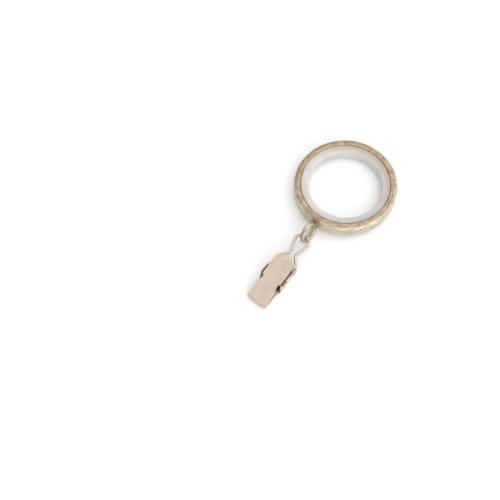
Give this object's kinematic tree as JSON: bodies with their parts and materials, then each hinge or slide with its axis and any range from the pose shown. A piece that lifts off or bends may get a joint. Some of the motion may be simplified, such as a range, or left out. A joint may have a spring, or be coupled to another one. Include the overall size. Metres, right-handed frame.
{
  "type": "curtain ring with clip",
  "caption": "Flat metal curtain ring with a plastic liner, a welded eyelet, a bent wire bail and a sprung pinch clip that holds the fabric.",
  "frame": {"origin": "centre of the liner's bore, at mid-height of the ring", "axes": "+Z along the ring's axis, with the clip's front plate upwards; the eyelet, bail and clip lie along -Y; X is across the clip"},
  "size_m": [0.0508, 0.0984, 0.0121],
  "materials": {
    "ring_metal": "brushed antique gold",
    "liner_plastic": "translucent satin white",
    "eyelet_metal": "brushed light gold",
    "wire_metal": "painted beige",
    "clip_paint": "painted beige, satin",
    "pin_metal": "painted beige",
    "spring_steel": "plain wire"
  },
  "bodies": {
    "ring": {"ring_band": "ring_metal", "ring_liner": "liner_plastic", "eyelet": "eyelet_metal"},
    "bail": {"bail_wire": "wire_metal"},
    "clip": {"clip_back_plate": "clip_paint", "pivot_pin": "pin_metal", "clip_spring": "spring_steel"},
    "jaw": {"clip_front_plate": "clip_paint"}
  },
  "joints": [
    {"name": "bail_swing", "type": "hinge", "parent": "ring", "child": "bail", "pos_m": [0, -0.0312, 0], "axis": [1, 0, 0], "range_deg": [-130, 105]},
    {"name": "clip_swing", "type": "hinge", "parent": "bail", "child": "clip", "pos_m": [0, -0.05096, -0.0042], "axis": [1, 0, 0], "range_deg": [-10, 26]},
    {"name": "jaw_open", "type": "hinge", "parent": "clip", "child": "jaw", "pos_m": [0, -0.05846, -0.003], "axis": [-1, 0, 0], "range_deg": [0, 18], "stiffness_Nm_per_rad": 0.03, "springref_deg": -57.3, "deforming": ["clip_spring"]}
  ]
}
